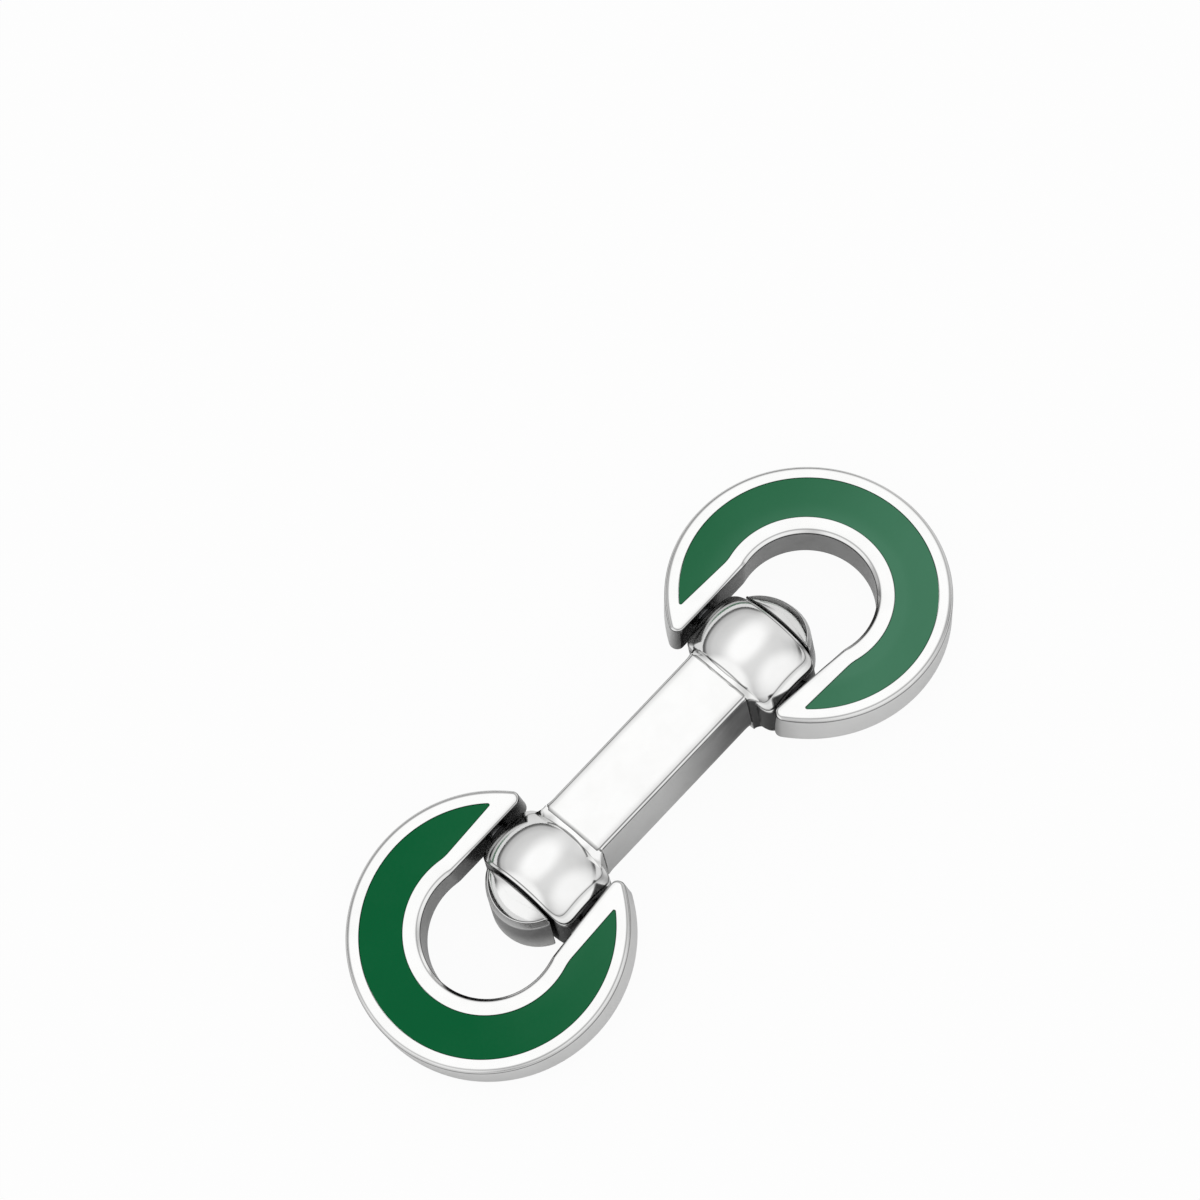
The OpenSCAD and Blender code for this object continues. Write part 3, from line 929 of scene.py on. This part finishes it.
barSizes = {
    "length": 11.2,
    "width": 3.9,
    "bevel": 0.18,
    "fine": 0.03,              # rounding of the bevels' own edges
    "roll": 0.055,             # how far each face falls away towards its edges
    "rollShare": 0.62,         # share of the half width where the fall starts
    "flare": 0.05,             # how much wider the bar grows at its ends
    "flareFrom": 5,            # distance from the middle where that starts
}
barShade = {
    "sideStart": (1.86, 1.89),     # distance from the axis from which a face counts as a side
    "side": (0.23, 0.81),      # towards the lighter and the darker end of each long side, in painted shade
    "sideTurn": (-1.5, 5.2),
    "sideHalf": 1.75,          # half the height of the dull part of a side
    "sideFade": 0.03,
    "edge": 0.2,
    "edgeRun": 0.5,            # width over which the top takes on painted shade towards its edges
    "under": 0.3,
    "tips": 0.9,
    "tipsFrom": (5.57, 5.6),
    "topLine": 0.85,
    "lineWidth": 0.035,
}


def barShell():
    # Rows along the bar. The section is a square with bevelled corners, whose faces fall away
    # by roll * t ^ 2 near their edges, with t from 0 to 1 over the last share of the half width.
    s = barSizes
    half, bevel = s["width"] / 2, s["bevel"]
    flat = half - bevel
    outer = np.append(np.linspace(s["rollShare"], 0.96, 9), [0.98, 1])
    across = np.concatenate([-outer[::-1], np.linspace(-0.5, 0.5, 5), outer]) * (flat - s["fine"])
    t = np.clip((np.abs(across) / flat - s["rollShare"]) / (1 - s["rollShare"]), 0, 1)
    face = np.stack([across, half - s["roll"] * t ** 2], axis=-1)
    first = np.array([flat - s["fine"] * 0.4, half - s["roll"]])
    second = np.array([half - s["roll"], flat - s["fine"] * 0.4])
    corner = [first + (second - first) * w for w in (0, 0.08, 0.2, 0.5, 0.8, 0.92, 1)]
    quarter = np.concatenate([face, np.array(corner)])
    section = []
    for k in range(4):
        a = -np.pi / 2 * k
        section.append(quarter @ np.array([[np.cos(a), np.sin(a)], [-np.sin(a), np.cos(a)]]))
    section = np.concatenate(section)
    end = s["length"] / 2
    places = [(bevel * w - end, bevel * (1 - w)) for w in (0, 0.06, 0.94, 1)]
    places += [(s["fine"] + bevel - end, 0)]
    middles = np.concatenate([np.linspace(-5.3, -4.7, 5), np.linspace(-4, 4, 7), np.linspace(4.7, 5.3, 5)])
    places += [(x, 0) for x in middles]
    places += [(-x, inset) for x, inset in places[4::-1]]
    rows = []
    for x, inset in places:
        wide = 1 + s["flare"] * np.clip((abs(x) - s["flareFrom"]) / (end - s["flareFrom"]), 0, 1) ** 2
        shrunk = section * (half - inset) / half * np.array([wide, 1])
        rows.append(np.concatenate([np.full((len(section), 1), x), shrunk], axis=1))
    rows = np.array(rows) + np.array([0, 0, hinge["height"]])
    return closedShell(rows, [-end, 0, hinge["height"]], [end, 0, hinge["height"]])


def barPaintedShade(points):
    # Painted shade: darker on the long sides, more so towards one hub on each, underneath and at the
    # tips, with fine dark lines along the bevels and a soft shade on top beside them. Each line fades by
    # exp(-(d / width) ^ 2).
    s, shade = barSizes, barShade
    x, y, z = points[:, 0], np.abs(points[:, 1]), points[:, 2] - hinge["height"]
    turned = -x * np.sign(points[:, 1])
    flat, high = s["width"] / 2 - s["bevel"], s["width"] / 2 - s["roll"]
    clear, dull = shade["side"]
    side = clear + (dull - clear) * eased(turned, *shade["sideTurn"])
    side = side * eased(y, *shade["sideStart"]) * eased(shade["sideHalf"] - np.abs(z), 0, shade["sideFade"])
    beside = shade["edge"] * eased(y, flat - shade["edgeRun"], flat) ** 2
    beside = beside * eased(np.abs(z), *shade["sideStart"])
    under = shade["under"] * eased(-z, *shade["sideStart"])
    tips = shade["tips"] * eased(np.abs(x), *shade["tipsFrom"])
    toTop = np.hypot(y - flat, np.abs(z) - high)
    toSide = np.hypot(y - high, np.abs(z) - flat)
    topLine = shade["topLine"] * np.exp(-(toTop / shade["lineWidth"]) ** 2)
    sideLine = np.exp(-(toSide / shade["lineWidth"]) ** 2)
    return np.clip(np.maximum.reduce([side, beside, under, tips, topLine, sideLine]), 0, 1)


points, faces = barShell()
makePiece("barBody", [(points, faces, barPaintedShade(points))], "body", ["bar"], polishedMetal)


# Pins inside the rings' arms, filed flush under the rim

pinSizes = {
    "reach": 5.65,
    "edge": 0.05,
}

for end in ("a", "b"):
    points, faces = crossRod(pinSizes["reach"], hinge["pinRadius"], pinSizes["edge"])
    points = atEnd(turnY(points, hinge["droop"]), end)
    makePiece("hingePin_" + end, [(points, faces, np.zeros(len(points)))], "ring_" + end,
              ["hinge_pin_" + end], innerSteel)

for name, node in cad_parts.items():
    if not node.hide_render:      # the plungers and springs, which nothing replaces
        node.data.materials.clear()
        node.data.materials.append(innerSteel)


# Floor, light and camera

stageLook = {
    "floorColor": (0.66, 0.66, 0.66),
    "floorReach": 0.6,
    "floorGlow": 0.95,         # share of plain white in what the camera sees of the floor
    "glossGlow": 0.12,         # the same for what the metal mirrors
    "level": 1.03,             # of the plain light
    "walls": [                 # height from 0, straight down, to 1, straight up, and the level there
        (0.0, 0.4), (0.47, 0.3), (0.5, 0.04), (0.53, 0.12),
        (0.59, 0.5), (0.7, 0.62), (0.85, 0.7), (1.0, 0.76),
    ],
    "lamps": [
        {"middle": (0.95, 0.1), "squash": (1, 0.5), "full": 0.1, "gone": 0.3, "level": 0.72},
        {"middle": (0.06, 0.26), "squash": (0.42, 0.8), "full": 0.17, "gone": 0.42, "level": 1.03},
        {"middle": (0.1, -0.78), "squash": (0.45, 1), "full": 0.12, "gone": 0.46, "level": 0.97},
        {"middle": (-0.88, 0.15), "squash": (1, 0.5), "full": 0.2, "gone": 0.42, "level": 0.97},
    ],
}


def makeFloor(look):
    # A pale square under the cufflink. The camera sees it as nearly plain white, and mirrored
    # rays see a share of white in it.
    r = look["floorReach"]
    mesh = bpy.data.meshes.new("floor")
    mesh.from_pydata([(-r, -r, 0), (r, -r, 0), (r, r, 0), (-r, r, 0)], [], [(0, 1, 2, 3)])
    floor = bpy.data.objects.new("floor", mesh)
    scene.collection.objects.link(floor)
    material = bpy.data.materials.new("paleFloor")
    material.use_nodes = True
    tree = material.node_tree
    plain = tree.nodes["Principled BSDF"]
    fill(tree, plain, {"Base Color": (*look["floorColor"], 1), "Roughness": 0.9, "Specular IOR Level": 0.0})
    white = newNode(tree, "ShaderNodeEmission").outputs[0]
    path = newNode(tree, "ShaderNodeLightPath").outputs
    mirrored = mathStep(tree, "MAXIMUM", path["Is Glossy Ray"], path["Is Transmission Ray"])
    mirrorShare = mathStep(tree, "MULTIPLY", mirrored, look["glossGlow"])
    share = mathStep(tree, "MULTIPLY_ADD", path["Is Camera Ray"], look["floorGlow"], mirrorShare)
    mix = newNode(tree, "ShaderNodeMixShader", {0: share, 1: plain.outputs[0], 2: white})
    fill(tree, tree.nodes["Material Output"], {"Surface": mix.outputs[0]})
    mesh.materials.append(material)


makeFloor(stageLook)

cameraFit = {
    "turn": (-21.4, -5.5, 47.2),   # degrees about X, Y and Z
    "picture": 1200,               # pixels along each side
    "middle": (649.6, 764.2),      # where the hinges' midpoint lies in the picture
    "scale": 19.49,                # pixels for a millimetre
    "focal": 10000.0,              # pixels
    "sensor": 36,                  # millimetres
}


def cameraAxes(fit):
    # Rows are the camera's right, up and back in the object's axes: Rx times Ry times Rz.
    x, y, z = np.radians(fit["turn"])
    rx = np.array([[1, 0, 0], [0, np.cos(x), -np.sin(x)], [0, np.sin(x), np.cos(x)]])
    ry = np.array([[np.cos(y), 0, np.sin(y)], [0, 1, 0], [-np.sin(y), 0, np.cos(y)]])
    rz = np.array([[np.cos(z), -np.sin(z), 0], [np.sin(z), np.cos(z), 0], [0, 0, 1]])
    return rx @ ry @ rz


axes = cameraAxes(cameraFit)
away = cameraFit["focal"] / cameraFit["scale"]
offset = (np.array(cameraFit["middle"]) - cameraFit["picture"] / 2) / cameraFit["scale"]
place = np.array([-offset[0], offset[1], away]) @ axes + np.array([0, 0, hinge["height"]])
cameraData = bpy.data.cameras.new("camera")
cameraData.sensor_width = cameraFit["sensor"]
cameraData.lens = cameraFit["focal"] / cameraFit["picture"] * cameraFit["sensor"]
cameraData.clip_start = 0.01
cameraData.clip_end = 10
camera = bpy.data.objects.new("camera", cameraData)
scene.collection.objects.link(camera)
turned = Matrix(np.round(axes.T, 9).tolist()).to_4x4()
turned.translation = (place * mm).tolist()
camera.matrix_world = turned
scene.camera = camera


def makeWorld(look):
    # A studio dome. Its plain light is even. What shines in the metal is pale walls over a dark
    # band round the horizon, and soft white lamps. Seen from above, with the horizon as a circle
    # of radius 1, each lamp is an ellipse round its middle that fades from full to gone.
    world = bpy.data.worlds.new("studio")
    scene.world = world
    world.use_nodes = True
    tree = world.node_tree
    place = newNode(tree, "ShaderNodeTexCoord").outputs["Generated"]
    parts = newNode(tree, "ShaderNodeSeparateXYZ", {"Vector": place}).outputs
    walls = newNode(tree, "ShaderNodeValToRGB", {"Fac": spread(tree, parts["Z"], (-1, 1))})
    walls.color_ramp.interpolation = "EASE"
    while len(walls.color_ramp.elements) < len(look["walls"]):
        walls.color_ramp.elements.new(0.5)
    for element, (position, value) in zip(walls.color_ramp.elements, look["walls"]):
        element.position = position
        element.color = (value, value, value, 1)
    studio = walls.outputs["Color"]
    for lamp in look["lamps"]:
        middle = [-m * q for m, q in zip(lamp["middle"], lamp["squash"])]
        away = vectorStep(tree, "MULTIPLY_ADD", place, (*lamp["squash"], 0), (*middle, 0)).outputs[0]
        reach = vectorStep(tree, "LENGTH", away).outputs["Value"]
        mask = spread(tree, reach, (lamp["gone"], lamp["full"]), interpolation_type="SMOOTHSTEP")
        studio = mixColors(tree, mask, studio, (lamp["level"],) * 3 + (1,))
    path = newNode(tree, "ShaderNodeLightPath").outputs
    chosen = mixColors(tree, path["Is Glossy Ray"], (look["level"],) * 3 + (1,), studio)
    fill(tree, tree.nodes["Background"], {"Color": chosen})


makeWorld(stageLook)
scene.view_settings.view_transform = "Standard"
print("cufflink: studio made")
